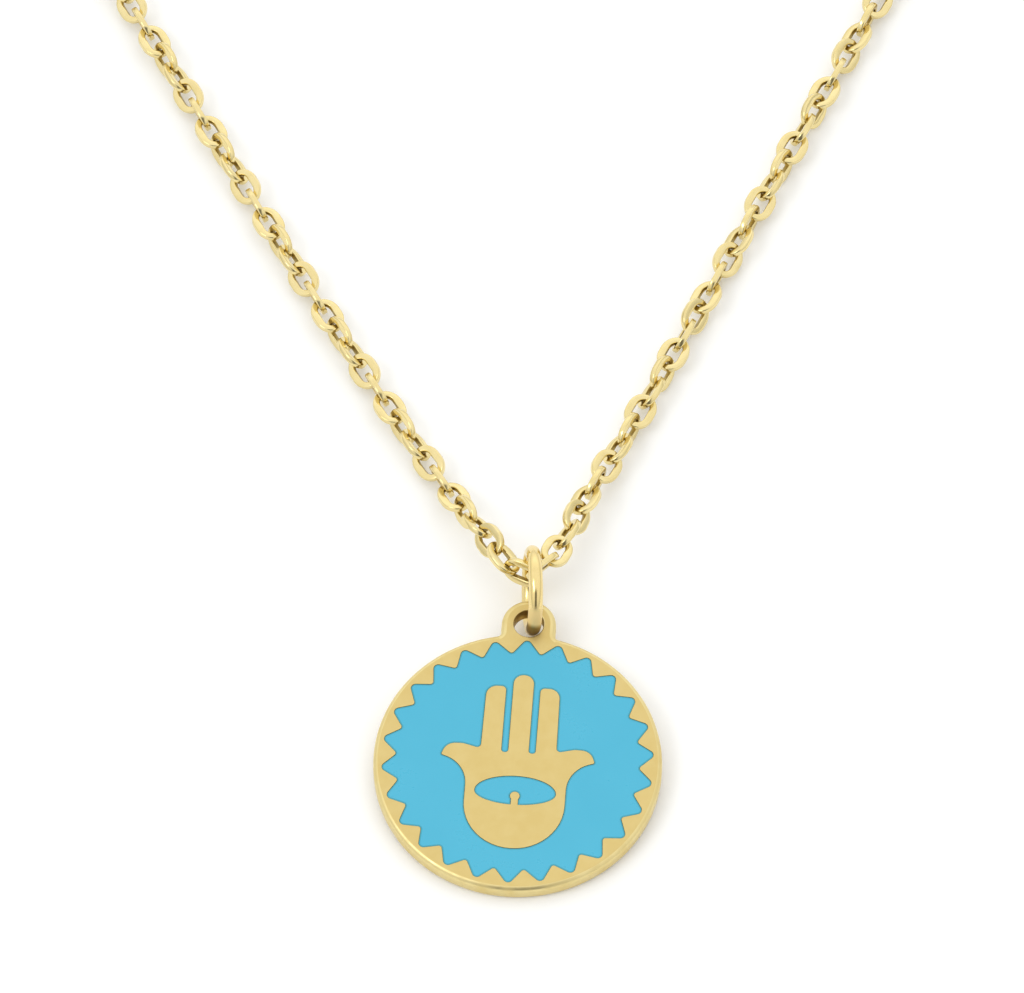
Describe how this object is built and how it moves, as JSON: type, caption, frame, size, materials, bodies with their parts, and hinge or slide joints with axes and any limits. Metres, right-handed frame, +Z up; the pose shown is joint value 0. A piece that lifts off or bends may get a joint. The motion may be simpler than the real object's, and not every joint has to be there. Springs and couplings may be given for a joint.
{
  "type": "hamsa pendant necklace",
  "caption": "Round gold-coloured pendant with a light blue enamelled open hand, an eye in its palm and a border of rays, on a jump ring and a closed cable chain, lying flat.",
  "frame": {"origin": "middle of the whole necklace's footprint, on the surface that it lies on", "axes": "+Y from the pendant towards the clasp, +X to the right seen from above with the pendant nearest, +Z up from the surface"},
  "size_m": [0.1086, 0.1918, 0.0064],
  "materials": {
    "plate_metal": "satin face, polished edges",
    "ring_metal": "polished",
    "chain_metal": "polished",
    "enamel": "smooth, softly glossy"
  },
  "bodies": {
    "root": {"pendant_plate": "plate_metal", "enamel_field": "enamel", "enamel_eye": "enamel", "jump_ring": "ring_metal", "chain_left": "chain_metal", "chain_right": "chain_metal", "clasp": "chain_metal"}
  },
  "joints": []
}
